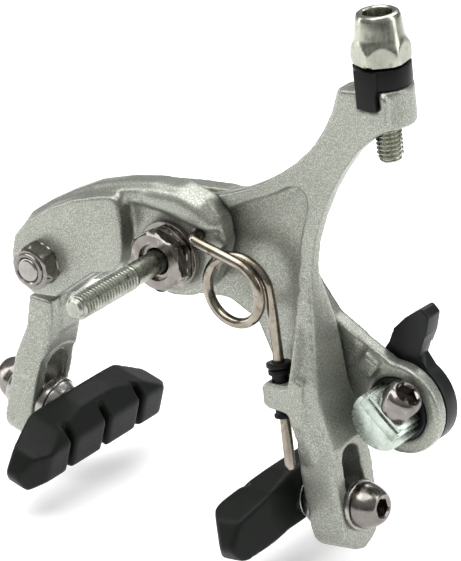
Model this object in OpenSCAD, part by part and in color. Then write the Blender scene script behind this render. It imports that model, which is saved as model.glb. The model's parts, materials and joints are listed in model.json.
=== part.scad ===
// Dual-pivot side-pull rim brake caliper with quick release and barrel adjuster.
// Millimetres, +Z up. Origin: mounting bolt axis at the seat of the mounting nut.
// +Y points forward, away from the frame; +X is the adjuster side.

/* [Mounting] */
// Radius of the mounting bolt thread
bolt_r = 3.0; // [2.5:0.5:4]
// Length of the mounting bolt behind the seat
bolt_len = 29; // [20:1:45]
// Threaded part of that length
thread_len = 20; // [10:1:30]

/* [Arms] */
// Side pivot, distance left of the mounting bolt
side_x = 35; // [32:1:38]
// Side pivot, distance below the mounting bolt
side_z = 10; // [6:1:14]
// Middle of both arm legs, forward of the seat
leg_y = 13.5; // [12:0.5:15]

/* [Shoes] */
// Length of a brake pad
pad_len = 55; // [50:1:60]
// Height of a brake pad at its back
pad_h = 14; // [12:0.5:16]
// Depth of a brake pad from back to rubbing face
pad_t = 12.3; // [11:0.1:15]
// Reach of the right shoe bolt below the mounting bolt
reach = 54; // [49:0.5:56]

/* [Adjuster] */
// Lean of the barrel adjuster towards the mounting bolt, degrees
adj_lean = 5.4; // [3:0.2:8]
// Radius of the housing seat in the barrel adjuster
seat_r = 3.2; // [2.6:0.1:3.4]

/* [Spring] */
// Thickness of the return spring wire
wire_d = 2.5; // [2:0.1:2.9]

/* [Hidden] */
qx = 53.7;
qz = -29.8;
ax = 53.1;
ay = 15.5;
az = 56.8;
clamp_deg = 51;
clamp_y = 14.2;
right_x = 42.3;
right_z = -reach - 0.6;
left_x = -48.5;
left_z = -52.5;
right_tilt = 9;
left_tilt = 14;
right_stack = 3.6;
left_stack = 4.9;
right_back = -5.4 - right_stack;
left_back = -3.9 - left_stack;
coil_x = 19.5;
coil_z = -3.3;
coil_r = 7.8;
silver = [0.78, 0.79, 0.77];
steel = [0.55, 0.53, 0.5];
zinc = [0.74, 0.78, 0.74];
black = [0.08, 0.08, 0.08];

// ---- helpers ----
module slab(y0, y1) {
    translate([0, y1, 0])
        rotate([90, 0, 0])
            linear_extrude(y1 - y0)
                children();
}
module rod(x, z, r, y0, y1) {
    translate([x, y1, z])
        rotate([90, 0, 0])
            cylinder(r = r, h = y1 - y0, $fn = 64);
}
module hexrod(af, y0, y1, turn = 0) {
    translate([0, y1, 0])
        rotate([90, 0, 0])
            rotate([0, 0, turn])
                cylinder(r = af / sqrt(3), h = y1 - y0, $fn = 6);
}
module smooth(r) {
    offset(r = r, $fn = 32)
        offset(delta = -2 * r)
            offset(r = r, $fn = 32)
                children();
}
module adj() {
    translate([ax, ay, az])
        rotate([0, -adj_lean, 0])
            children();
}
// local frame of the cable clamp: z along its bolt, y forward
module clamp_frame() {
    translate([qx, 0, qz])
        rotate([0, 90 - clamp_deg, 0])
            children();
}
// local frame of a shoe: x outward along its bolt from the middle of the arm leg
module right_frame() {
    translate([right_x, leg_y, right_z])
        rotate([0, -right_tilt, 0])
            children();
}
module left_frame() {
    translate([left_x, leg_y, left_z])
        rotate([0, left_tilt, 0])
            mirror([1, 0, 0])
                children();
}
// flat with a round top, long enough for a shoe washer to slide along
module washer_flat(x) {
    translate([x, -9, -16])
        cube([12, 18, 23.2]);
    translate([x, 0, 7.2])
        rotate([0, 90, 0])
            cylinder(r = 9, h = 12, $fn = 64);
}
// local frame of the spring guide: z up along the straight leg of the spring
module guide_frame() {
    translate([32.49, 5.45, -36])
        rotate([-6.9, -11.4, 0])
            children();
}
module xcyl(r, x0, x1, fn = 64) {
    translate([x0, 0, 0])
        rotate([0, 90, 0])
            cylinder(r = r, h = x1 - x0, $fn = fn);
}

// ---- fixed pieces on the mounting bolt ----
// outline of the rounded part of the bracket above the nuts
module bracket_brow() {
    polygon([[-30, 5.6], [-22, 10.6], [-13, 14], [-4, 16.3], [4, 16.9], [10, 15.5], [14, 11.6],
        [14.6, 9.2], [11, 8.8], [7, 9.2], [3, 9.9], [-2, 10.6], [-8, 10.6], [-14, 9]]);
}
module pivot_bracket() {
    color(silver)
        difference() {
            union() {
                slab(6, 10.8)
                    smooth(2)
                        polygon([[-45.5, -10], [-44.6, -5], [-41.5, -0.5], [-36, 3.6], [-29, 8], [-22, 11.8],
                            [-13, 15], [-4, 17.2], [4, 17.8], [10.5, 16.2], [14.8, 12], [15.8, 6], [14, 0],
                            [11, -6], [6, -9.4], [0, -10.8], [-7, -9.6], [-13, -8.4], [-19, -9.6], [-24, -13],
                            [-29, -18], [-34, -20.3], [-39, -20], [-43.6, -16.6]]);
                // rounded brow over the nuts, narrowing towards the rear
                for (i = [0 : 4])
                    slab(3.4 + 0.5 * i, 6.1 + 0.2 * i)
                        smooth(0.9)
                            offset(delta = -1.8 * pow(1 - i / 4, 2))
                                bracket_brow();
                slab(1.5, 6.1)
                    smooth(1.5)
                        polygon([[-44.4, -10.5], [-43.4, -5.4], [-39.6, -0.6], [-32, 5], [-25.4, 8.6], [-17, 11.7],
                            [-12.4, 12.8], [-11.2, 9.4], [-10.7, 5], [-10.7, 0], [-11.4, -4], [-13.6, -7],
                            [-19.8, -8.8], [-25.7, -13.6], [-31.2, -18.2], [-38.4, -19.2], [-43, -16]]);
            }
            rod(0, 0, bolt_r + 0.03, 0, 12);
            rod(-side_x, -side_z, bolt_r + 0.03, 0, 12);
            rod(0, 0, 9.2, 4, 6.4);
            // room for the coil
            rod(coil_x, coil_z, coil_r + 1.6, 5.5, 6.7);
            // hole that takes the end of the spring
            rod(8.6, 7.2, wire_d / 2 + 0.1, 1, 9.6);
        }
}
module mounting_bolt() {
    color(steel)
        union() {
            rod(0, 0, bolt_r, -bolt_len + 0.8, -bolt_len + thread_len);
            translate([0, -bolt_len + 0.8, 0])
                rotate([90, 0, 0])
                    cylinder(r1 = bolt_r, r2 = bolt_r - 0.7, h = 0.8, $fn = 64);
            rod(0, 0, bolt_r - 0.35, -bolt_len + thread_len - 0.1, 3);
            rod(0, 0, bolt_r, 2.9, 25.2);
        }
}
module mounting_nut() {
    color(steel)
        difference() {
            intersection() {
                hexrod(13.8, 0, 3.3, 22);
                rod(0, 0, 7.6, -1, 5);
            }
            rod(0, 0, 3.9, -1, 1.6);
            rod(0, 0, bolt_r + 0.03, -1, 5);
        }
}
module lock_nut() {
    color(steel)
        difference() {
            hexrod(13.8, 3.35, 4.9, 30);
            rod(0, 0, bolt_r + 0.03, 3, 6);
        }
}
module seat_washer() {
    color(steel)
        difference() {
            rod(0, 0, 8.1, 4.95, 6.35);
            rod(0, 0, bolt_r + 0.03, 4, 7);
        }
}
module rear_washer() {
    color(steel)
        difference() {
            rod(0, 0, 7, 10.8, 11.3);
            rod(0, 0, bolt_r + 0.03, 10, 12);
        }
}
module front_washer() {
    color(steel)
        difference() {
            rod(0, 0, 6, 18.6, 19.1);
            rod(0, 0, bolt_r + 0.03, 18, 20);
        }
}
module front_nut() {
    color(steel)
        difference() {
            intersection() {
                hexrod(10, 19.15, 24.2, 0);
                translate([0, 24.2, 0])
                    rotate([90, 0, 0])
                        cylinder(r1 = 5.1, r2 = 7.2, h = 5.05, $fn = 48);
            }
            rod(0, 0, bolt_r + 0.03, 19, 25);
        }
}
module side_pivot_bolt() {
    color(steel)
        translate([-side_x, 0, -side_z])
            difference() {
                union() {
                    rod(0, 0, bolt_r, -3.3, 23.5);
                    translate([0, -3.3, 0])
                        rotate([90, 0, 0])
                            cylinder(r1 = bolt_r, r2 = bolt_r - 0.5, h = 0.5, $fn = 64);
                    rod(0, 0, 5, 23.5, 26.4);
                    translate([0, 26.4, 0])
                        rotate([-90, 0, 0])
                            cylinder(r1 = 5, r2 = 4, h = 1, $fn = 64);
                }
                hexrod(4, 25, 28);
            }
}
module side_pivot_nut() {
    color(steel)
        translate([-side_x, 0, -side_z])
            difference() {
                union() {
                    intersection() {
                        hexrod(10, -2.9, 1.45, 18);
                        translate([0, 1.45, 0])
                            rotate([90, 0, 0])
                                cylinder(r1 = 7.4, r2 = 5.2, h = 4.35, $fn = 48);
                    }
                    rod(0, 0, 4.2, -3.6, -2.8);
                }
                rod(0, 0, bolt_r + 0.03, -5, 3);
            }
}
module side_washer() {
    color(steel)
        translate([-side_x, 0, -side_z])
            for (y = [10.8, 22.95])
                difference() {
                    rod(0, 0, 6, y, y + 0.5);
                    rod(0, 0, bolt_r + 0.03, y - 1, y + 1);
                }
}
// return spring: from the bracket, a turn and a fifth round the coil, then down the leg
module spring_leg(a, b) {
    hull() {
        translate(a)
            sphere(d = wire_d, $fn = 14);
        translate(b)
            sphere(d = wire_d, $fn = 14);
    }
}
// point i of 36 on the coil, working forward as it turns
function coil_point(i) = [
    coil_x + coil_r * cos(72 - 12 * i),
    3.4 + 3.6 * pow(i / 36, 2),
    coil_z + coil_r * sin(72 - 12 * i)
];
module return_spring() {
    color(steel)
        union() {
            spring_leg([8.6, 8, 7.2], [8.6, 2.9, 7.2]);
            spring_leg([8.6, 2.9, 7.2], coil_point(0));
            for (i = [0 : 35])
                spring_leg(coil_point(i), coil_point(i + 1));
            spring_leg([coil_x + coil_r, 7, coil_z], [29.3, 7.4, -20.2]);
            spring_leg([29.3, 7.4, -20.2], [34.2, 4.4, -44.5]);
        }
}

// ---- right arm, turning on the mounting bolt ----
module y_arm() {
    color(silver)
        difference() {
            union() {
                // hub and web
                rod(0, 0, 12.3, 11.6, 18.3);
                slab(11.8, 17)
                    smooth(2)
                        polygon([[-10, 6], [0, 12], [12, 14], [24, 19.6], [35, 27], [36, 18], [34, 6], [34, -8],
                            [36, -20], [30, -26], [24, -22], [20, -14], [12, -10.5], [0, -12], [-10, -7]]);
                // ear that meets the other arm
                slab(12, 18)
                    polygon([[-8, 4], [-22, -0.8], [-22, -5.6], [-8, -5.6]]);
                // rim: along the top and down the right, slimmer towards the front
                slab(9, 12.8)
                    smooth(1.1)
                        polygon([[8, 15], [15, 17.8], [20, 20.2], [24, 22.5], [28, 25.2], [33.2, 29.4], [37.4, 33.8],
                            [40.8, 38.2], [43.2, 42.4], [44.8, 46.6], [45.6, 50.6],
                            [58.6, 51.6], [58.8, 43.6], [54.4, 40.6], [50.2, 36.2], [46.4, 30.6], [43, 24.4],
                            [40.2, 17.6], [38.2, 11], [37.4, 5], [37.4, 0], [38, -5], [38.8, -12], [39.6, -22],
                            [37, -28], [33, -24], [33.2, -16], [33.8, -8], [33.9, 2], [34.3, 9.6], [35.6, 16],
                            [36.6, 19.6], [36.4, 22.4], [34.4, 24], [31.6, 23.4], [27, 20.4], [20, 16.8],
                            [13.6, 13.2], [10, 10.4]]);
                slab(12.7, 18.4)
                    smooth(1.1)
                        polygon([[9, 14.8], [15, 16.4], [20, 18.4], [24, 20.8], [28, 24], [32, 28], [35.6, 32.8],
                            [38.6, 37.6], [41, 42.6], [42.8, 49],
                            [56, 49.6], [56, 42.4], [52.4, 39.6], [48.6, 36], [44.8, 31.4], [41, 25.6],
                            [37.6, 19], [34.8, 12.4], [33.2, 6], [33, 0], [34.2, -6], [36.2, -12], [37, -22],
                            [34, -26], [30, -12], [28, 2], [28, 12], [26, 15], [20, 13], [10, 9.6]]);
                // leg, growing rearward from the rim
                hull() {
                    slab(9.2, 12.6)
                        translate([35.2, 4])
                            circle(r = 1.6, $fn = 32);
                    slab(7.6, 17.6)
                        translate([36, -13])
                            circle(r = 2.9, $fn = 32);
                }
                hull() {
                    slab(7.6, 17.6)
                        translate([36, -13])
                            circle(r = 2.9, $fn = 32);
                    slab(5.6, 17.9)
                        translate([37.2, -26])
                            circle(r = 4.1, $fn = 32);
                }
                hull() {
                    slab(5.6, 17.9)
                        translate([37.2, -26])
                            circle(r = 4.1, $fn = 32);
                    slab(6, 18.6)
                        translate([40.4, -39])
                            circle(r = 5.4, $fn = 32);
                }
                // rear face of the leg, flush with the lug
                hull() {
                    slab(8.4, 12)
                        translate([35.2, -8])
                            circle(r = 1.3, $fn = 32);
                    slab(3.9, 10)
                        translate([35.7, -24])
                            circle(r = 1.7, $fn = 32);
                    slab(3.9, 10)
                        translate([36.3, -31])
                            circle(r = 2.2, $fn = 32);
                    slab(6.2, 10)
                        translate([38.4, -43])
                            circle(r = 2.4, $fn = 32);
                }
                // lug for the spring guide
                slab(3.7, 10.8)
                    smooth(1.2)
                        polygon([[38, -20], [36, -21.6], [34.6, -23.4], [28, -23.9], [26.8, -25.2], [27.2, -29.8],
                            [29, -30.6], [34, -30.6], [36, -33], [38, -36]]);
                hull() {
                    slab(6, 18.6)
                        translate([40.4, -39])
                            circle(r = 5.4, $fn = 32);
                    right_frame()
                        translate([-0.6, 0, 8])
                            rotate([0, 90, 0])
                                cylinder(r = 7.6, h = 9.4, center = true, $fn = 32);
                    right_frame()
                        translate([-0.4, 0, -4.2])
                            rotate([0, 90, 0])
                                cylinder(r = 6.8, h = 10, center = true, $fn = 32);
                }
                // adjuster boss
                adj()
                    translate([0, 0, -14.1])
                        cylinder(r = 6.7, h = 9.1, $fn = 64);
            }
            rod(0, 0, 5, 11, 19);
            // round clearance for the bracket
            rod(0, 0, 20, 8, 11.15);
            adj()
                translate([0, 0, -30])
                    cylinder(r = bolt_r + 0.05, h = 30, $fn = 64);
            adj()
                translate([-2.9, -8.6, -9.4])
                    cube([5.8, 3.2, 6.4]);
            // shoe slot
            right_frame()
                hull() {
                    translate([-9, 0, -2.6])
                        rotate([0, 90, 0])
                            cylinder(r = 3.3, h = 18, $fn = 48);
                    translate([-9, 0, 11.4])
                        rotate([0, 90, 0])
                            cylinder(r = 3.3, h = 18, $fn = 48);
                }
            // flats for the shoe washers
            right_frame()
                washer_flat(4.4);
            right_frame()
                washer_flat(-17.4);
            // seat for the spring guide
            guide_frame()
                cylinder(r = 2.05, h = 14, $fn = 48);
            guide_frame()
                translate([0, 0, -3])
                    cylinder(r = 2.75, h = 8, $fn = 48);
            // open above the boss, where the sleeve sits
            adj()
                translate([0, 0, -4.95])
                    cylinder(r = 12, h = 16, $fn = 64);
            // small dimple left by the casting
            translate([33.4, 11, -0.8])
                rotate([90, 0, 0])
                    cylinder(r = 0.7, h = 4, $fn = 24);
        }
}
module y_arm_bush() {
    color([0.7, 0.55, 0.3])
        difference() {
            rod(0, 0, 5, 11.6, 18.3);
            rod(0, 0, bolt_r + 0.05, 11, 19);
        }
}
module contact_pad() {
    color(black)
        translate([-22, 12.5, -7.3])
            cube([9, 5, 1.7]);
}
module spring_guide() {
    color(black)
        guide_frame()
            difference() {
                union() {
                    translate([0, 0, 4])
                        cylinder(r = 2.02, h = 12, $fn = 48);
                    translate([0, 0, 13.8])
                        cylinder(r = 2.7, h = 1.2, $fn = 48);
                    translate([0, 0, 15.5])
                        cylinder(r = 3, h = 1.1, $fn = 48);
                    translate([0, 0, 14.9])
                        cylinder(r = 2.2, h = 0.7, $fn = 48);
                    translate([0, 0, 3.6])
                        cylinder(r = 2.4, h = 0.9, $fn = 48);
                }
                translate([0, 0, -1])
                    cylinder(r = wire_d / 2 + 0.15, h = 20, $fn = 48);
            }
}
module adjuster_sleeve() {
    color(black)
        adj()
            difference() {
                union() {
                    translate([0, 0, -4.7])
                        cylinder(r = 6.5, h = 4.4, $fn = 64);
                    translate([-2.6, -7.2, -9])
                        cube([5.2, 1.5, 8.7]);
                }
                translate([0, 0, -20])
                    cylinder(r = bolt_r + 0.3, h = 30, $fn = 64);
            }
}
module barrel_adjuster() {
    color(silver)
        adj()
            difference() {
                union() {
                    // hexagon base, its corners turned back to a cone
                    intersection() {
                        rotate([0, 0, 38])
                            cylinder(r = 6.9, h = 6, $fn = 6);
                        union() {
                            cylinder(r = 6.75, h = 3.7, $fn = 64);
                            translate([0, 0, 3.6])
                                cylinder(r1 = 6.75, r2 = 5.5, h = 2.5, $fn = 64);
                        }
                    }
                    translate([0, 0, 5])
                        cylinder(r1 = 5.8, r2 = 5.1, h = 5.5, $fn = 64);
                    translate([0, 0, 10.4])
                        cylinder(r1 = 5.1, r2 = 4.4, h = 1.1, $fn = 64);
                    translate([0, 0, -22.9])
                        cylinder(r = bolt_r, h = 23, $fn = 64);
                }
                translate([0, 0, 3.2])
                    cylinder(r = seat_r, h = 10, $fn = 64);
                translate([0, 0, -24])
                    cylinder(r = 1.2, h = 30, $fn = 48);
            }
}

// ---- left arm, turning on the side pivot ----
module c_arm() {
    color(silver)
        difference() {
            union() {
                rod(-side_x, -side_z, 9.4, 11.6, 22.6);
                // bow over the mounting bolt and tail down to the quick release
                slab(19.2, 22.8)
                    smooth(2)
                        polygon([[-44, -8], [-41, -1.6], [-34, 2.6], [-25, 6], [-12, 10], [-2, 11.8], [6.7, 13],
                            [13, 12.6], [20, 9.6], [26, 3], [31, -5], [36, -11], [44, -15], [51, -18.2], [57, -22],
                            [57, -37], [48, -38.6], [43, -35], [39, -30], [32, -25], [26, -17], [20, -6],
                            [15, 3], [9, 7.6], [0, 7.4], [-8, 6.6], [-14, 4.8], [-20, 0], [-25, -6], [-30, -18],
                            [-40, -18]]);
                // raised edge along the top of the bow and tail
                slab(18.7, 23)
                    smooth(0.8)
                        polygon([[-38, 0], [-30, 4.2], [-25, 6], [-12, 10], [-2, 11.8], [6.7, 13], [13, 12.6],
                            [20, 9.6], [26, 3], [31, -5], [36, -11], [43.5, -14.8], [42.6, -17.4], [34.6, -13.4],
                            [29, -6.2], [24, 1], [18.4, 7.4], [12.4, 10], [6, 10.4],
                            [-2, 9.2], [-12, 7.4], [-22, 4], [-28, 0]]);
                rod(qx, qz, 11.2, 19, 22.8);
                // shelf that carries the centring screw
                slab(12, 18)
                    smooth(1)
                        polygon([[-34, -9], [-26, -10], [-16, -10], [-15.4, -13.4], [-24, -16], [-34, -18]]);
                // leg
                slab(11.6, 19.4)
                    smooth(1.5)
                        polygon([[-43.6, -12], [-45, -20], [-46, -26], [-46, -34], [-38.6, -34], [-37.8, -26],
                            [-33, -18], [-28, -12]]);
                hull() {
                    slab(7.8, 19.4)
                        translate([-41.6, -26])
                            square([6.8, 4.6], center = true);
                    slab(7.6, 19.4)
                        translate([-42.8, -34])
                            circle(r = 3.7, $fn = 32);
                }
                hull() {
                    slab(7.6, 19.4)
                        translate([-42.8, -34])
                            circle(r = 3.7, $fn = 32);
                    left_frame()
                        translate([0, 0, 8.6])
                            rotate([0, 90, 0])
                                cylinder(r = 6.8, h = 8, center = true, $fn = 32);
                    left_frame()
                        translate([0, 0, -5.6])
                            rotate([0, 90, 0])
                                cylinder(r = 6.6, h = 8, center = true, $fn = 32);
                }
                // square pad on the tail
                slab(17.9, 19.3)
                    translate([46.2, -20.6])
                        rotate(-35)
                            square(4.6, center = true);
            }
            rod(-side_x, -side_z, 5, 11, 24);
            rod(qx, qz, 7.65, 18, 24);
            translate([-19.5, 15, -18])
                cylinder(r = 2.03, h = 12, $fn = 48);
            // shoe slot
            left_frame()
                hull() {
                    translate([-9, 0, -2.6])
                        rotate([0, 90, 0])
                            cylinder(r = 3.3, h = 18, $fn = 48);
                    translate([-9, 0, 10.6])
                        rotate([0, 90, 0])
                            cylinder(r = 3.3, h = 18, $fn = 48);
                }
            left_frame()
                washer_flat(3.9);
            left_frame()
                washer_flat(-15.9);
        }
}
module c_arm_bush() {
    color([0.7, 0.55, 0.3])
        translate([-side_x, 0, -side_z])
            difference() {
                rod(0, 0, 5, 11.6, 22.6);
                rod(0, 0, bolt_r + 0.05, 11, 24);
            }
}
module centring_screw() {
    color(steel)
        translate([-19.5, 15, 0])
            difference() {
                translate([0, 0, -17.1])
                    cylinder(r = 2, h = 9, $fn = 48);
                translate([0, 0, -18])
                    cylinder(r = 1.15, h = 3, $fn = 6);
            }
}
module quick_release_shaft() {
    color(zinc)
        difference() {
            union() {
                difference() {
                    rod(qx, qz, 7, 11.3, 18.7);
                    clamp_frame()
                        translate([-8, 9.5, 1.5])
                            cube([16, 10, 10]);
                }
                rod(qx, qz, 4.95, 18.6, 27.5);
            }
            clamp_frame()
                translate([0, clamp_y, -3])
                    cylinder(r = 2.53, h = 10, $fn = 48);
        }
}
module quick_release_lever() {
    color(black)
        difference() {
            union() {
                rod(qx, qz, 10.9, 23.1, 27.2);
                rod(qx, qz, 7.6, 19.3, 23.2);
                slab(23.4, 27)
                    smooth(1)
                        polygon([[43.6, -24], [48.6, -15.8], [49.4, -13.4], [52.4, -9.4], [57, -5.6], [59.2, -7],
                            [58.4, -12], [56.8, -17.4], [60.6, -22], [60.6, -30], [49, -32]]);
                slab(23.6, 28)
                    smooth(1)
                        polygon([[49.4, -14.2], [49.6, -12.4], [52.8, -8.8], [57.4, -5.2], [59.4, -7],
                            [58.6, -11.6], [57.2, -15.4]]);
            }
            rod(qx, qz, 4.98, 19, 28);
        }
}
module clamp_plate() {
    color(zinc)
        clamp_frame()
            difference() {
                union() {
                    translate([-5.9, 10.4, 1.55])
                        cube([11.8, 8.2, 1.3]);
                    translate([-5.9, 10.4, 0.2])
                        cube([11.8, 0.8, 1.5]);
                }
                translate([0, clamp_y, -3])
                    cylinder(r = 2.53, h = 10, $fn = 48);
            }
}
module clamp_washer() {
    color(zinc)
        clamp_frame()
            difference() {
                translate([-5.2, 10.9, 2.9])
                    cube([10.4, 7.6, 1.1]);
                translate([0, clamp_y, -3])
                    cylinder(r = 2.53, h = 10, $fn = 48);
            }
}
module clamp_bolt() {
    color(steel)
        clamp_frame()
            translate([0, clamp_y, 0])
                difference() {
                    union() {
                        translate([0, 0, -2.9])
                            cylinder(r = 2.5, h = 7.2, $fn = 48);
                        translate([0, 0, 4.05])
                            cylinder(r1 = 4, r2 = 4.4, h = 1.2, $fn = 64);
                        translate([0, 0, 5.2])
                            cylinder(r = 4.4, h = 3.6, $fn = 64);
                        translate([0, 0, 8.8])
                            cylinder(r1 = 4.4, r2 = 3.5, h = 1.4, $fn = 64);
                    }
                    translate([0, 0, 6.6])
                        cylinder(r = 2.9, h = 6, $fn = 6);
                }
}

// ---- shoes, drawn in the shoe frame: x outward along the bolt, the pad's back at back ----
module pad_shape(back) {
    tip = back - pad_t;
    difference() {
        intersection() {
            // side outline, following the rim
            translate([tip, 0, 0])
                rotate([90, 0, 90])
                    linear_extrude(pad_t)
                        smooth(2)
                            polygon([[-pad_len / 2, -4.4], [-pad_len / 2 + 3, 1.5], [-pad_len / 2 + 12, 5.4],
                                [-6, pad_h / 2], [6, pad_h / 2], [pad_len / 2 - 12, 5.4],
                                [pad_len / 2 - 3, 1.5], [pad_len / 2, -4.4], [pad_len / 2 - 3, -8.6],
                                [11, -pad_h / 2 + 1.2], [-11, -pad_h / 2 + 1.2], [-pad_len / 2 + 3, -8.6]]);
            // section along the bolt, thinner towards the rubbing face
            translate([0, pad_len / 2 + 1, 0])
                rotate([90, 0, 0])
                    linear_extrude(pad_len + 2)
                        smooth(0.6)
                            polygon([[back, 5], [back - 2, 7.6], [back - 6.8, 7.6], [tip, 3],
                                [tip, -5.4], [back - 8.4, -9], [back - 2.4, -9], [back, -6]]);
            // plan, tapered ends
            translate([0, 0, -12])
                linear_extrude(24)
                    smooth(1)
                        polygon([[back, -16], [back - 4, -pad_len / 2], [back - 7.4, -pad_len / 2],
                            [tip, -pad_len / 2 + 6], [tip, pad_len / 2 - 6],
                            [back - 7.4, pad_len / 2], [back - 4, pad_len / 2], [back, 16]]);
        }
        for (y = [-13, 0, 13])
            translate([tip - 1, y - 0.8, -10])
                cube([5.2, 1.6, 20]);
    }
}
module stud_shape(back) {
    difference() {
        union() {
            xcyl(5, back - 0.55, back + 0.3);
            xcyl(4, back + 0.2, back + 1.4);
        }
        xcyl(2.6, back - 1, back + 2, 48);
    }
}
module inner_washer_shape(face, thick) {
    difference() {
        xcyl(6.2, face - thick, face);
        xcyl(3.05, face - thick - 1, face + 1, 48);
    }
}
module dished_washer_shape(back, end) {
    difference() {
        translate([back + 0.35, 0, 0])
            rotate([0, 90, 0])
                cylinder(r1 = 5, r2 = 5.9, h = end - back - 0.35, $fn = 64);
        xcyl(4.05, back, back + 1.45, 48);
        xcyl(3.05, back, end + 1, 48);
    }
}
module outer_washer_shape(face) {
    difference() {
        xcyl(6, face, face + 1.3);
        xcyl(3.05, face - 1, face + 2, 48);
    }
}
module shoe_bolt_shape(back, face) {
    difference() {
        union() {
            xcyl(3, back + 1.5, face + 1.5, 48);
            xcyl(2.55, back - 0.4, back + 1.6, 48);
            xcyl(5.45, face + 1.35, face + 2.8);
            translate([face + 2.8, 0, 0])
                rotate([0, 90, 0])
                    cylinder(r1 = 5.45, r2 = 4.4, h = 2.6, $fn = 64);
            translate([face + 5.4, 0, 0])
                rotate([0, 90, 0])
                    cylinder(r1 = 4.4, r2 = 3, h = 1.4, $fn = 64);
        }
        translate([face + 3.6, 0, 0])
            rotate([0, 90, 0])
                cylinder(r = 2.31, h = 5, $fn = 6);
    }
}
module right_pad() {
    color(black)
        right_frame()
            difference() {
                translate([0, 1, 1.5])
                    pad_shape(right_back);
                xcyl(5.05, right_back - 0.6, right_back + 1);
            }
}
module right_stud() {
    color(zinc)
        right_frame()
            stud_shape(right_back);
}
module right_inner_washer() {
    color(steel)
        right_frame()
            inner_washer_shape(-5.45, 1.6);
}
module right_dished_washer() {
    color(steel)
        right_frame()
            dished_washer_shape(right_back, -7.1);
}
module right_outer_washer() {
    color(steel)
        right_frame()
            outer_washer_shape(4.45);
}
module right_shoe_bolt() {
    color(steel)
        right_frame()
            shoe_bolt_shape(right_back, 4.45);
}
module left_pad() {
    color(black)
        left_frame()
            difference() {
                translate([0, 1, 0])
                    pad_shape(left_back);
                xcyl(5.05, left_back - 0.6, left_back + 1);
            }
}
module left_stud() {
    color(zinc)
        left_frame()
            stud_shape(left_back);
}
module left_inner_washer() {
    color(steel)
        left_frame()
            inner_washer_shape(-3.95, 2.2);
}
module left_dished_washer() {
    color(steel)
        left_frame()
            dished_washer_shape(left_back, -6.2);
}
module left_outer_washer() {
    color(steel)
        left_frame()
            outer_washer_shape(3.95);
}
module left_shoe_bolt() {
    color(steel)
        left_frame()
            shoe_bolt_shape(left_back, 3.95);
}

pivot_bracket();
mounting_bolt();
mounting_nut();
lock_nut();
seat_washer();
rear_washer();
front_washer();
front_nut();
side_pivot_bolt();
side_pivot_nut();
side_washer();
return_spring();
y_arm();
y_arm_bush();
contact_pad();
spring_guide();
adjuster_sleeve();
barrel_adjuster();
c_arm();
c_arm_bush();
centring_screw();
quick_release_shaft();
quick_release_lever();
clamp_plate();
clamp_washer();
clamp_bolt();
right_pad();
right_stud();
right_inner_washer();
right_dished_washer();
right_outer_washer();
right_shoe_bolt();
left_pad();
left_stud();
left_inner_washer();
left_dished_washer();
left_outer_washer();
left_shoe_bolt();
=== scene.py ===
"""Dual-pivot side-pull rim brake caliper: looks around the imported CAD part. Sizes in millimetres."""
import json
import math

import bmesh
import bpy
from mathutils import Matrix, Vector


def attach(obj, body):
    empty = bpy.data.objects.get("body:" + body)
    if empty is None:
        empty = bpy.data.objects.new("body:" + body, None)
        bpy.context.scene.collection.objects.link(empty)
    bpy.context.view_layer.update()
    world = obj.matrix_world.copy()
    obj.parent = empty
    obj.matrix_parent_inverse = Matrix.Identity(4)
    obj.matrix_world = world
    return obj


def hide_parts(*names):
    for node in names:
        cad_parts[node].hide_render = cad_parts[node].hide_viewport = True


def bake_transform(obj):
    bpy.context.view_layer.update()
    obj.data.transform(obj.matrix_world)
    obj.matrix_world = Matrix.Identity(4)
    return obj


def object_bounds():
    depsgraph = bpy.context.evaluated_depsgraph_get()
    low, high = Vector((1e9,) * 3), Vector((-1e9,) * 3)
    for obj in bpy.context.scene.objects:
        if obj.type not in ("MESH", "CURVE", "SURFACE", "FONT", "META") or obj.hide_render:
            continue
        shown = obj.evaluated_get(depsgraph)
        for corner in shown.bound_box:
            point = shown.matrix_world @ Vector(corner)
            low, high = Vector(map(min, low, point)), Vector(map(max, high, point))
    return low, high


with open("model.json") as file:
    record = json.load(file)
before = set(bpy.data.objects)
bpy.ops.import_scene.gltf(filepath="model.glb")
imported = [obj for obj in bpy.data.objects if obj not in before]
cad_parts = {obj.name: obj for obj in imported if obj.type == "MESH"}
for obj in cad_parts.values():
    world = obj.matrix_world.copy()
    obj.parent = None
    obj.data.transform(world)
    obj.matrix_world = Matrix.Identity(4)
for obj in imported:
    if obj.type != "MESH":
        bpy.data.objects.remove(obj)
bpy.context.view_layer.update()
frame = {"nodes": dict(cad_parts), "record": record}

MM = 0.001
DEG = math.pi / 180
record = frame["record"]
BODY_OF = {node: body for body, nodes in record["behaviour"]["bodies"].items() for node in nodes}
SLOT_OF = {row["node"]: row["material_slot"] for row in record["subparts"]}

# layout, repeated from part.scad
BOLT_R = 3.0
BOLT_TIP_Y, THREAD_END_Y, BOLT_FRONT_Y = -29.0, -9.0, 25.2
SIDE_PIVOT = (-35.0, -10.0)
QUICK_RELEASE = (53.7, -29.8)
ADJUSTER, ADJUSTER_LEAN = (53.1, 15.5, 56.8), 5.4
CLAMP_ANGLE, CLAMP_Y = 51.0, 14.2
RIGHT_SHOE, RIGHT_TILT = (42.3, 13.5, -54.6), 9.0
LEFT_SHOE, LEFT_TILT = (-48.5, 13.5, -52.5), 14.0
WIRE_D = 2.5
COIL_CENTRE, COIL_R = (19.5, -3.3), 7.8


# ---------------------------------------------------------------- materials
def node_tree(name):
    mat = bpy.data.materials.new(name)
    mat.use_nodes = True
    nodes, links = mat.node_tree.nodes, mat.node_tree.links
    shader = nodes["Principled BSDF"]
    coords = nodes.new("ShaderNodeTexCoord")
    return mat, nodes, links, shader, coords.outputs["Object"]


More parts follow.
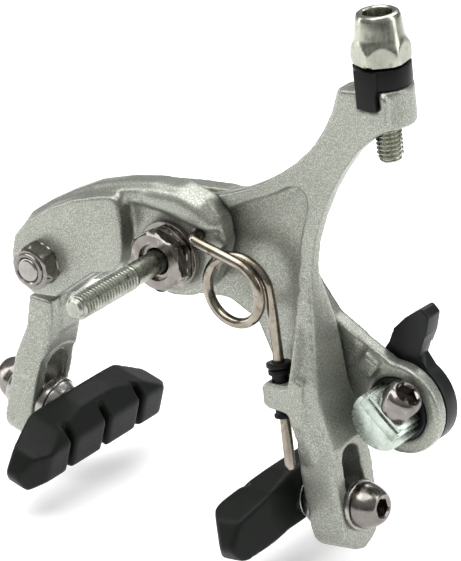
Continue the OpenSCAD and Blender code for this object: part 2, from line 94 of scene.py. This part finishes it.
def noise(nodes, links, coords, per_mm, detail=3.0, stretch=None, rough=0.55):
    """Noise with about per_mm bumps a millimetre; stretch scales the axes for a brushed grain."""
    source = coords
    if stretch:
        mapping = nodes.new("ShaderNodeMapping")
        mapping.inputs["Scale"].default_value = stretch
        links.new(coords, mapping.inputs["Vector"])
        source = mapping.outputs["Vector"]
    tex = nodes.new("ShaderNodeTexNoise")
    tex.inputs["Scale"].default_value = per_mm * 1000
    tex.inputs["Detail"].default_value = detail
    tex.inputs["Roughness"].default_value = rough
    links.new(source, tex.inputs["Vector"])
    return tex.outputs["Fac"]


def ramp(nodes, links, value, stops):
    """stops are (position, colour or grey)."""
    node = nodes.new("ShaderNodeValToRGB")
    elements = node.color_ramp.elements
    while len(elements) < len(stops):
        elements.new(0.5)
    for element, (place, tone) in zip(elements, stops):
        element.position = place
        element.color = (*tone, 1) if isinstance(tone, tuple) else (tone, tone, tone, 1)
    links.new(value, node.inputs["Fac"])
    return node.outputs["Color"]


def mix(nodes, links, factor, a, b):
    node = nodes.new("ShaderNodeMix")
    node.data_type = "RGBA"
    links.new(factor, node.inputs["Factor"])
    for socket, value in ((node.inputs[6], a), (node.inputs[7], b)):
        if isinstance(value, tuple):
            socket.default_value = (*value, 1)
        else:
            links.new(value, socket)
    return node.outputs[2]


def bump(nodes, links, height, strength, depth_mm, before=None):
    node = nodes.new("ShaderNodeBump")
    node.inputs["Strength"].default_value = strength
    node.inputs["Distance"].default_value = depth_mm * MM
    links.new(height, node.inputs["Height"])
    if before:
        links.new(before, node.inputs["Normal"])
    return node.outputs["Normal"]


def cast_silver():
    """Satin silver paint with fine flake over a slightly uneven casting."""
    mat, nodes, links, shader, coords = node_tree("cast_silver_paint")
    flake = noise(nodes, links, coords, 3.2, 2)
    cloud = noise(nodes, links, coords, 0.07, 3)
    pits = noise(nodes, links, coords, 1.1, 4)
    base = ramp(nodes, links, cloud, [(0.3, (0.190, 0.198, 0.170)), (0.7, (0.232, 0.241, 0.208))])
    sparkle = ramp(nodes, links, flake, [(0.42, 0.0), (0.72, 1.0)])
    colour = mix(nodes, links, sparkle, base, (0.44, 0.455, 0.40))
    links.new(colour, shader.inputs["Base Color"])
    links.new(ramp(nodes, links, flake, [(0.3, 0.44), (0.7, 0.32)]), shader.inputs["Roughness"])
    shader.inputs["Metallic"].default_value = 0.72
    shader.inputs["Coat Weight"].default_value = 0.12
    shader.inputs["Coat Roughness"].default_value = 0.25
    fine = bump(nodes, links, flake, 0.16, 0.05)
    links.new(bump(nodes, links, pits, 0.12, 0.12, fine), shader.inputs["Normal"])
    return mat


def metal(name, low, high, rough, grain, grain_mm, wear=None, scratch=0.12):
    """Plated or plain metal: colour drift, a directional grain and a few worn patches."""
    mat, nodes, links, shader, coords = node_tree(name)
    cloud = noise(nodes, links, coords, 0.25, 4)
    lines = noise(nodes, links, coords, grain_mm, 3, grain)
    colour = ramp(nodes, links, cloud, [(0.3, low), (0.7, high)])
    if wear:
        patch = ramp(nodes, links, noise(nodes, links, coords, 0.45, 5), [(0.56, 0.0), (0.68, 1.0)])
        colour = mix(nodes, links, patch, colour, wear)
    links.new(colour, shader.inputs["Base Color"])
    shader.inputs["Metallic"].default_value = 1.0
    links.new(ramp(nodes, links, lines, [(0.3, rough), (0.75, rough + 0.16)]), shader.inputs["Roughness"])
    links.new(bump(nodes, links, lines, scratch, 0.03), shader.inputs["Normal"])
    return mat


def black(name, tone, rough, grain_mm, depth_mm, specular, dust):
    """Moulded rubber or plastic: fine texture, faint bloom and dust."""
    mat, nodes, links, shader, coords = node_tree(name)
    cloud = noise(nodes, links, coords, 0.12, 5)
    grain = noise(nodes, links, coords, grain_mm, 3)
    dusty = ramp(nodes, links, cloud, [(0.45, 0.0), (0.8, 0.35)])
    links.new(mix(nodes, links, dusty, tone, dust), shader.inputs["Base Color"])
    links.new(ramp(nodes, links, grain, [(0.3, rough), (0.7, rough + 0.14)]), shader.inputs["Roughness"])
    shader.inputs["Specular IOR Level"].default_value = specular
    links.new(bump(nodes, links, grain, 0.35, depth_mm), shader.inputs["Normal"])
    return mat


EVEN = (1, 1, 1)
MATERIALS = {
    "cast_silver": cast_silver(),
    "bolt_zinc": metal("bolt_zinc_plate", (0.28, 0.29, 0.25), (0.40, 0.415, 0.365), 0.24, EVEN, 1.2,
                       wear=(0.20, 0.20, 0.17)),
    "nickel_steel": metal("smoky_nickel", (0.145, 0.134, 0.124), (0.25, 0.233, 0.215), 0.14, (1, 0.3, 1), 1.4,
                          wear=(0.30, 0.275, 0.26), scratch=0.06),
    "stainless": metal("washer_steel", (0.24, 0.23, 0.22), (0.38, 0.365, 0.35), 0.18, (1, 1, 0.3), 1.5),
    "spring_wire": metal("drawn_wire", (0.20, 0.178, 0.142), (0.33, 0.30, 0.25), 0.15, (1, 1, 0.15), 2.4,
                         wear=(0.15, 0.125, 0.09), scratch=0.08),
    "bronze": metal("sintered_bronze", (0.34, 0.22, 0.10), (0.52, 0.36, 0.18), 0.38, EVEN, 2.5),
    "bright_aluminium": metal("polished_aluminium", (0.30, 0.31, 0.255), (0.42, 0.435, 0.37), 0.17,
                              (1, 1, 0.12), 1.5, wear=(0.25, 0.26, 0.21), scratch=0.06),
    "zinc_plate": metal("zinc_passivate", (0.36, 0.41, 0.365), (0.52, 0.57, 0.52), 0.2, (0.3, 1, 1), 1.5,
                        wear=(0.26, 0.30, 0.255), scratch=0.2),
    "black_plastic": black("moulded_black_plastic", (0.0035, 0.0042, 0.0036), 0.3, 1.6, 0.03, 0.14,
                           (0.010, 0.012, 0.010)),
    "lever_black": black("satin_black_lever", (0.004, 0.005, 0.005), 0.3, 2.2, 0.04, 0.24,
                         (0.012, 0.014, 0.014)),
    "pad_rubber": black("pad_rubber_black", (0.0034, 0.0048, 0.0036), 0.42, 1.9, 0.05, 0.17,
                        (0.009, 0.0125, 0.0095)),
}
assert set(MATERIALS) == {row["slot"] for row in record["materials"]}


# ---------------------------------------------------------------- mesh helpers
def new_piece(name, mesh, *nodes):
    """Links a piece that stands for those CAD nodes, with the first one's finish, and hides those nodes."""
    piece = bpy.data.objects.new(name, mesh)
    bpy.context.scene.collection.objects.link(piece)
    mesh.materials.clear()
    mesh.materials.append(MATERIALS[SLOT_OF[nodes[0]]])
    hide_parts(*nodes)
    return piece


def welded_copy(node):
    """The CAD node's mesh with its seams welded and flat facets merged."""
    mesh = frame["nodes"][node].data.copy()
    bm = bmesh.new()
    bm.from_mesh(mesh)
    bmesh.ops.remove_doubles(bm, verts=bm.verts, dist=0.002 * MM)
    bmesh.ops.dissolve_limit(bm, angle_limit=math.radians(0.5), verts=bm.verts, edges=bm.edges)
    bm.normal_update()
    bm.to_mesh(mesh)
    bm.free()
    mesh.materials.clear()
    return mesh


def apply_modifiers(piece):
    graph = bpy.context.evaluated_depsgraph_get()
    bpy.context.view_layer.update()
    done = bpy.data.meshes.new_from_object(piece.evaluated_get(graph), depsgraph=graph)
    old = piece.data
    piece.modifiers.clear()
    piece.data = done
    bpy.data.meshes.remove(old)


def machined(node, edge):
    """A CAD node with its edges broken, as a turned or stamped part has them."""
    piece = new_piece(node + "_finished", welded_copy(node), node)
    bevel = piece.modifiers.new("broken_edges", "BEVEL")
    bevel.width = edge * MM
    bevel.segments = 3
    bevel.limit_method = "ANGLE"
    bevel.angle_limit = math.radians(38)
    apply_modifiers(piece)
    smooth_by_angle(piece, 34)
    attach(piece, BODY_OF[node])
    return piece


def smooth_by_angle(piece, degrees):
    piece.data.shade_smooth()
    piece.data.set_sharp_from_angle(angle=math.radians(degrees))


def moulded(node, voxel, passes):
    """A CAD node with the fillets of a casting or a moulding: remeshed finely, then relaxed."""
    piece = new_piece(node + "_moulded", welded_copy(node), node)
    remesh = piece.modifiers.new("fine_mesh", "REMESH")
    remesh.mode = "VOXEL"
    remesh.voxel_size = voxel * MM
    relax = piece.modifiers.new("fillets", "SMOOTH")
    relax.factor = 0.5
    relax.iterations = passes
    apply_modifiers(piece)
    piece.data.shade_smooth()
    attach(piece, BODY_OF[node])
    return piece


def hexagon(apothem, cap=None, turn=0.0):
    """Radius of a hexagon in each direction, cut back to a circle of radius cap."""
    def radius(angle):
        a = (angle - turn + math.pi / 6) % (math.pi / 3) - math.pi / 6
        r = apothem / math.cos(a)
        return min(r, cap) if cap else r
    return radius


def turned(name, rings, place, *nodes, steps, smooth):
    """Skins a stack of closed rings (height, radius or function of the angle); heights run along local z.

    A radius of 0 closes an end. Equal first and last rings make a ring-shaped part."""
    bm = bmesh.new()
    loops = []
    for height, radius in rings:
        if radius == 0:
            loops.append([bm.verts.new((0, 0, height * MM))])
            continue
        loop = []
        for i in range(steps):
            a = 2 * math.pi * i / steps
            r = (radius(a) if callable(radius) else radius) * MM
            loop.append(bm.verts.new((r * math.cos(a), r * math.sin(a), height * MM)))
        loops.append(loop)
    for low, high in zip(loops, loops[1:]):
        for i in range(steps):
            j = (i + 1) % steps
            if len(low) == 1:
                bm.faces.new((low[0], high[j], high[i]))
            elif len(high) == 1:
                bm.faces.new((low[i], low[j], high[0]))
            else:
                bm.faces.new((low[i], low[j], high[j], high[i]))
    bmesh.ops.remove_doubles(bm, verts=bm.verts, dist=0.0005 * MM)
    bmesh.ops.recalc_face_normals(bm, faces=bm.faces)
    mesh = bpy.data.meshes.new(name)
    bm.to_mesh(mesh)
    bm.free()
    mesh.transform(place)
    piece = new_piece(name, mesh, *nodes)
    smooth_by_angle(piece, smooth)
    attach(piece, BODY_OF[nodes[0]])
    return piece


def basis(origin, x, y, z):
    columns = Matrix((x, y, z)).transposed().to_4x4()
    return Matrix.Translation(Vector(origin) * MM) @ columns


def along_y(x=0.0, z=0.0):
    """Local z points rearward (-Y), from the mounting plane."""
    return basis((x, 0, z), (1, 0, 0), (0, 0, 1), (0, -1, 0))


def adjuster_place():
    lean = math.radians(ADJUSTER_LEAN)
    return basis(ADJUSTER, (math.cos(lean), 0, math.sin(lean)), (0, 1, 0), (-math.sin(lean), 0, math.cos(lean)))


def clamp_place():
    a = math.radians(CLAMP_ANGLE)
    return basis((QUICK_RELEASE[0], CLAMP_Y, QUICK_RELEASE[1]),
                 (math.sin(a), 0, -math.cos(a)), (0, 1, 0), (math.cos(a), 0, math.sin(a)))


def shoe_place(side):
    """Local z points outward along the shoe bolt."""
    if side == "right":
        t = math.radians(RIGHT_TILT)
        out, up = (math.cos(t), 0, math.sin(t)), (-math.sin(t), 0, math.cos(t))
        return basis(RIGHT_SHOE, (0, 1, 0), up, out)
    t = math.radians(LEFT_TILT)
    out, up = (-math.cos(t), 0, math.sin(t)), (math.sin(t), 0, math.cos(t))
    return basis(LEFT_SHOE, (0, -1, 0), up, out)


# ---------------------------------------------------------------- castings
moulded("pivot_bracket", 0.42, 26)
moulded("y_arm", 0.42, 13)
moulded("c_arm", 0.44, 14)


# ---------------------------------------------------------------- bolts and nuts
def thread_rings(start, end, pitch, crest, root):
    """A right-hand thread skinned as rings whose radius depends on the angle, with run-outs."""
    rings = []
    per_turn = 14
    count = int((end - start) / pitch * per_turn)
    for k in range(count + 1):
        h = start + (end - start) * k / count
        fade = min(1, (h - start) / (0.8 * pitch), (end - h) / (0.8 * pitch))

        def radius(a, h=h, fade=fade):
            turn = ((h / pitch) - a / (2 * math.pi)) % 1
            wave = 1 - abs(2 * turn - 1)
            wave = min(1, max(0, (wave - 0.14) / 0.72))
            r = root + (crest - root) * wave
            return root + (r - root) * max(fade, 0) if fade < 1 else r
        rings.append((h, radius))
    return rings


def mounting_bolt():
    """Heights run rearward: the front end is at -25.2 and the tip at 29."""
    thread_start, tip = -THREAD_END_Y, -BOLT_TIP_Y
    shank_r = 2.72
    rings = [(-BOLT_FRONT_Y, 0), (-BOLT_FRONT_Y, 2.3), (-BOLT_FRONT_Y + 0.6, BOLT_R), (-2.9, BOLT_R),
             (-2.7, shank_r), (thread_start - 0.6, shank_r)]
    rings += thread_rings(thread_start - 0.5, tip - 0.7, 1.0, BOLT_R, 2.3)
    rings += [(tip - 0.55, 2.4), (tip, 1.9), (tip, 0)]
    turned("mounting_bolt_threaded", rings, along_y(), "mounting_bolt", steps=64, smooth=32)


def nut(name, node, apothem, back, front, hole, turn, place, chamfer, recess=None):
    """Hexagon nut between two heights, its corners turned back to a cone."""
    round_cap = apothem * 1.085
    low = hexagon(apothem, round_cap, turn)
    flat = apothem * 0.95
    rings = [(back, hole + 0.3), (back, flat)]
    stages = ((0.0, 0.96), (0.45, 1.0), (1.0, 1.06))
    for share, scale in stages:
        rings.append((back + chamfer * share, hexagon(apothem, apothem * scale, turn)))
    middle = (back + front) / 2
    rings += [(back + chamfer * 1.1, low), (middle, hexagon(apothem, round_cap * 1.03, turn)),
              (front - chamfer * 1.1, low)]
    for share, scale in reversed(stages):
        rings.append((front - chamfer * share, hexagon(apothem, apothem * scale, turn)))
    rings.append((front, flat))
    if recess:
        rings += [(front, recess[0]), (front - recess[1], recess[0] - 0.4)]
        rings += [(front - recess[1], hole + 0.35), (front - recess[1] - 0.35, hole)]
    else:
        rings += [(front, hole + 0.45), (front - 0.45, hole)]
    rings += [(back + 0.3, hole), (back, hole + 0.3)]
    return turned(name, rings, place, node, steps=144, smooth=26)


def side_nut():
    """Nut with a round collar at its outer end."""
    def corner(cap):
        return hexagon(5.0, cap, 12 * DEG)
    rings = [(-1.45, 3.3), (-1.45, 5.3), (-1.2, corner(5.5)), (-0.9, corner(5.62)), (1.0, corner(5.62)),
             (2.0, corner(5.45)), (2.6, corner(5.15)), (2.8, 4.75), (2.9, 4.3), (2.9, 4.12), (3.3, 4.05), (3.5, 3.9),
             (3.6, 3.6), (3.6, 3.35), (3.3, 3.02), (-1.2, 3.02), (-1.45, 3.3)]
    turned("side_nut_turned", rings, along_y(*SIDE_PIVOT), "side_pivot_nut", steps=144, smooth=26)


mounting_bolt()
nut("mounting_nut_turned", "mounting_nut", 6.9, -3.3, 0.0, 3.02, 8 * DEG, along_y(), 0.7, recess=(4.5, 1.1))
nut("lock_nut_turned", "lock_nut", 6.9, -4.9, -3.35, 3.02, 0, along_y(), 0.25)
nut("front_nut_turned", "front_nut", 5.0, -24.2, -19.15, 3.02, 0, along_y(), 0.5)
side_nut()


# ---------------------------------------------------------------- return spring
def spring():
    """One smooth wire from its hole in the bracket, round the coil and down through the guide."""
    cx, cz = COIL_CENTRE
    points = [(8.6, 8.0, 7.2), (8.6, 5.6, 7.2), (8.7, 3.9, 7.2), (9.6, 3.0, 7.0), (12.0, 3.0, 6.4), (16.5, 3.2, 5.35)]
    coil_steps, step_degrees, start_degrees = 36, 12, 72
    coil_y, coil_rise = 3.4, 3.6
    for i in range(coil_steps):
        a = math.radians(start_degrees - step_degrees * i)
        y = coil_y + coil_rise * (i / coil_steps) ** 2
        points.append((cx + COIL_R * math.cos(a), y, cz + COIL_R * math.sin(a)))
    leg_top, leg_end = (29.3, 7.4, -20.2), (34.2, 4.4, -44.5)
    points += [(27.9, 7.1, -7.0), (28.5, 7.25, -12.5), (29.1, 7.35, -18.0)]
    points += [tuple(s + (e - s) * share for s, e in zip(leg_top, leg_end)) for share in (0.15, 0.35, 0.6, 0.85, 1.0)]
    path = []
    pts = [Vector(p) for p in points]
    between = 4
    for i in range(len(pts) - 1):
        p0, p1, p2, p3 = pts[max(i - 1, 0)], pts[i], pts[i + 1], pts[min(i + 2, len(pts) - 1)]
        for k in range(between):
            t = k / between
            path.append(0.5 * ((2 * p1) + (p2 - p0) * t + (2 * p0 - 5 * p1 + 4 * p2 - p3) * t * t
                               + (3 * p1 - p0 - 3 * p2 + p3) * t ** 3))
    path.append(pts[-1])
    bm = bmesh.new()
    around = 20
    loops = []
    tangent = (path[1] - path[0]).normalized()
    side_way = tangent.orthogonal().normalized()
    ends = {0: 0.86, len(path) - 1: 0.8}
    for i, p in enumerate(path):
        ahead = (path[min(i + 1, len(path) - 1)] - path[max(i - 1, 0)]).normalized()
        side_way = (side_way - ahead * side_way.dot(ahead)).normalized()
        other = ahead.cross(side_way)
        r = WIRE_D / 2 * ends.get(i, 1.0)
        loops.append([bm.verts.new((p + (side_way * math.cos(2 * math.pi * k / around)
                                         + other * math.sin(2 * math.pi * k / around)) * r) * MM)
                      for k in range(around)])
    for low, high in zip(loops, loops[1:]):
        for k in range(around):
            j = (k + 1) % around
            bm.faces.new((low[k], low[j], high[j], high[k]))
    bm.faces.new(loops[0])
    bm.faces.new(loops[-1])
    bmesh.ops.recalc_face_normals(bm, faces=bm.faces)
    mesh = bpy.data.meshes.new("return_spring_wire")
    bm.to_mesh(mesh)
    bm.free()
    piece = new_piece("return_spring_wire", mesh, "return_spring")
    smooth_by_angle(piece, 50)
    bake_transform(piece)


spring()


# ---------------------------------------------------------------- barrel adjuster
def barrel():
    """Barrel with a hexagonal base turned back to a cone, its housing seat, and the threaded stem below."""
    def cut_back(cone):
        return hexagon(5.95, cone, 8 * DEG)
    rings = [(-22.9, 0), (-22.9, 2.3), (-22.5, 2.55)]
    rings += thread_rings(-22.4, -0.6, 1.0, BOLT_R, 2.3)
    rings += [(-0.4, 2.6), (0.0, 2.9), (0.0, 5.7)]
    rings += [(height, cut_back(cone)) for height, cone in
              ((0.35, 6.35), (0.8, 6.62), (2.2, 6.72), (3.3, 6.66), (3.9, 6.5), (4.5, 6.22), (5.1, 5.95))]
    rings += [(5.7, 5.72), (6.4, 5.58), (8.4, 5.36), (10.2, 5.12), (10.8, 4.95), (11.2, 4.68), (11.4, 4.35),
              (11.5, 3.95), (11.45, 3.6), (11.2, 3.28), (10.9, 3.2), (3.2, 3.2), (3.2, 1.2), (-20.9, 1.2), (-20.9, 0)]
    turned("barrel_adjuster_turned", rings, adjuster_place(), "barrel_adjuster", steps=144, smooth=24)


barrel()


# ---------------------------------------------------------------- shoe bolts
def shoe_bolt(side, back, face):
    """Round-headed socket bolt: its shank ends 0.4 below back, and its head starts 1.35 above face."""
    socket = hexagon(2.0, None, 10 * DEG)
    rings = [(back - 0.4, 0), (back - 0.4, 2.3), (back, 2.55), (back + 1.5, 2.55), (back + 1.6, 3.0),
             (face + 1.35, 3.0), (face + 1.35, 5.15), (face + 1.6, 5.38), (face + 2.4, 5.45), (face + 3.1, 5.3),
             (face + 4.2, 4.9), (face + 5.2, 4.45), (face + 6.1, 3.9), (face + 6.6, 3.4), (face + 6.8, 3.0),
             (face + 6.8, 2.55), (face + 6.5, hexagon(2.0, 2.42, 10 * DEG)), (face + 6.2, socket),
             (face + 3.8, socket), (face + 3.6, hexagon(1.9, None, 10 * DEG)), (face + 3.3, 0)]
    turned(side + "_shoe_bolt_turned", rings, shoe_place(side), side + "_shoe_bolt", steps=144, smooth=30)


shoe_bolt("right", -9.0, 4.45)
shoe_bolt("left", -8.8, 3.95)


def clamp_bolt():
    """Socket-head bolt with a rounded rim."""
    socket = hexagon(2.5, None, 4 * DEG)
    rings = [(-2.9, 0), (-2.9, 2.2), (-2.5, 2.5), (4.05, 2.5), (4.05, 3.7), (4.3, 4.0), (5.2, 4.3), (6.4, 4.4),
             (8.4, 4.4), (9.3, 4.2), (9.9, 3.8), (10.2, 3.3), (10.2, 3.05), (9.9, 2.9),
             (9.6, hexagon(2.5, 2.88, 4 * DEG)), (9.3, socket), (6.9, socket), (6.6, hexagon(2.3, None, 4 * DEG)),
             (6.2, 0)]
    turned("clamp_bolt_turned", rings, clamp_place(), "clamp_bolt", steps=144, smooth=30)


clamp_bolt()

# ---------------------------------------------------------------- pads
moulded("right_pad", 0.42, 22)
moulded("left_pad", 0.42, 22)

# ---------------------------------------------------------------- the rest
SMALL = {
    "side_pivot_bolt": 0.3, "seat_washer": 0.15, "rear_washer": 0.1, "front_washer": 0.1, "side_washer": 0.1,
    "y_arm_bush": 0.15, "c_arm_bush": 0.15, "contact_pad": 0.3, "spring_guide": 0.25, "adjuster_sleeve": 0.6,
    "centring_screw": 0.2, "quick_release_shaft": 0.2, "quick_release_lever": 0.55, "clamp_plate": 0.25,
    "clamp_washer": 0.2, "right_stud": 0.15, "left_stud": 0.15, "right_inner_washer": 0.3, "left_inner_washer": 0.3,
    "right_dished_washer": 0.2, "left_dished_washer": 0.2, "right_outer_washer": 0.3, "left_outer_washer": 0.3,
}
for node, edge in SMALL.items():
    machined(node, edge)


# ---------------------------------------------------------------- stage, light and camera
def studio():
    mat, nodes, links, shader, coords = node_tree("pale_floor")
    links.new(ramp(nodes, links, noise(nodes, links, coords, 0.02, 4), [(0.3, 0.90), (0.7, 0.92)]),
              shader.inputs["Base Color"])
    shader.inputs["Roughness"].default_value = 0.9
    shader.inputs["Specular IOR Level"].default_value = 0.1
    shader.inputs["Emission Color"].default_value = (1, 1, 1, 1)
    shader.inputs["Emission Strength"].default_value = 0.3
    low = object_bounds()[0]
    bm = bmesh.new()
    bmesh.ops.create_grid(bm, x_segments=1, y_segments=1, size=4.0)
    mesh = bpy.data.meshes.new("floor")
    bm.to_mesh(mesh)
    bm.free()
    mesh.materials.append(mat)
    floor = bpy.data.objects.new("floor", mesh)
    # low enough for the closed arm, whose leg swings down by 6 mm
    floor.location = (0, 0, low[2] - 7 * MM)
    bpy.context.scene.collection.objects.link(floor)

    world = bpy.data.worlds.new("studio_world")
    bpy.context.scene.world = world
    world.use_nodes = True
    wn, wl = world.node_tree.nodes, world.node_tree.links
    coords = wn.new("ShaderNodeTexCoord")
    split = wn.new("ShaderNodeSeparateXYZ")
    wl.new(coords.outputs["Generated"], split.inputs["Vector"])
    sky = ramp(wn, wl, split.outputs["Z"], [(0.0, 0.5), (0.12, 0.42), (0.45, 0.8), (0.9, 1.0)])
    wl.new(sky, wn["Background"].inputs["Color"])
    wn["Background"].inputs["Strength"].default_value = 0.5


def area_light(name, azimuth, elevation, distance, size, power, tall=None):
    data = bpy.data.lights.new(name, "AREA")
    data.shape = "RECTANGLE"
    data.size, data.size_y = size, tall or size
    data.energy = power
    light = bpy.data.objects.new(name, data)
    a, e = math.radians(azimuth), math.radians(elevation)
    way = Vector((math.sin(a) * math.cos(e), -math.cos(a) * math.cos(e), math.sin(e)))
    light.location = way * distance
    light.rotation_mode = "QUATERNION"
    light.rotation_quaternion = way.to_track_quat("Z", "Y")
    bpy.context.scene.collection.objects.link(light)


def camera():
    """The photograph's view: azimuth 38, elevation 26, a slight roll, 950 mm away."""
    azimuth, elevation, roll = (math.radians(v) for v in (38.0, 26.0, 1.7))
    focal_px, frame_height_px, sensor_mm, distance = 4189.5, 561, 36, 950.0
    shift_right, shift_up = 17.35, -3.97
    back = Vector((math.sin(azimuth) * math.cos(elevation), -math.cos(azimuth) * math.cos(elevation),
                   math.sin(elevation)))
    right = Vector((math.cos(azimuth), math.sin(azimuth), 0))
    up = back.cross(right)
    right_rolled = right * math.cos(roll) - up * math.sin(roll)
    up_rolled = right * math.sin(roll) + up * math.cos(roll)
    data = bpy.data.cameras.new("camera")
    data.sensor_fit = "AUTO"
    data.sensor_width = sensor_mm
    data.lens = focal_px / frame_height_px * sensor_mm
    data.clip_start, data.clip_end = 0.01, 50
    cam = bpy.data.objects.new("camera", data)
    place = (back * distance + right_rolled * shift_right + up_rolled * shift_up) * MM
    cam.matrix_world = Matrix.Translation(place) @ Matrix((right_rolled, up_rolled, back)).transposed().to_4x4()
    bpy.context.scene.collection.objects.link(cam)
    bpy.context.scene.camera = cam


bpy.context.scene.view_settings.view_transform = "Standard"
studio()
area_light("key", -30, 76, 0.9, 0.9, 9.5)
area_light("left_strip", -70, 20, 0.8, 0.2, 2.4, 0.9)
area_light("right_strip", 115, 30, 0.8, 0.2, 2.2, 0.9)
area_light("front_fill", 190, 50, 1.0, 0.6, 4.0)
camera()
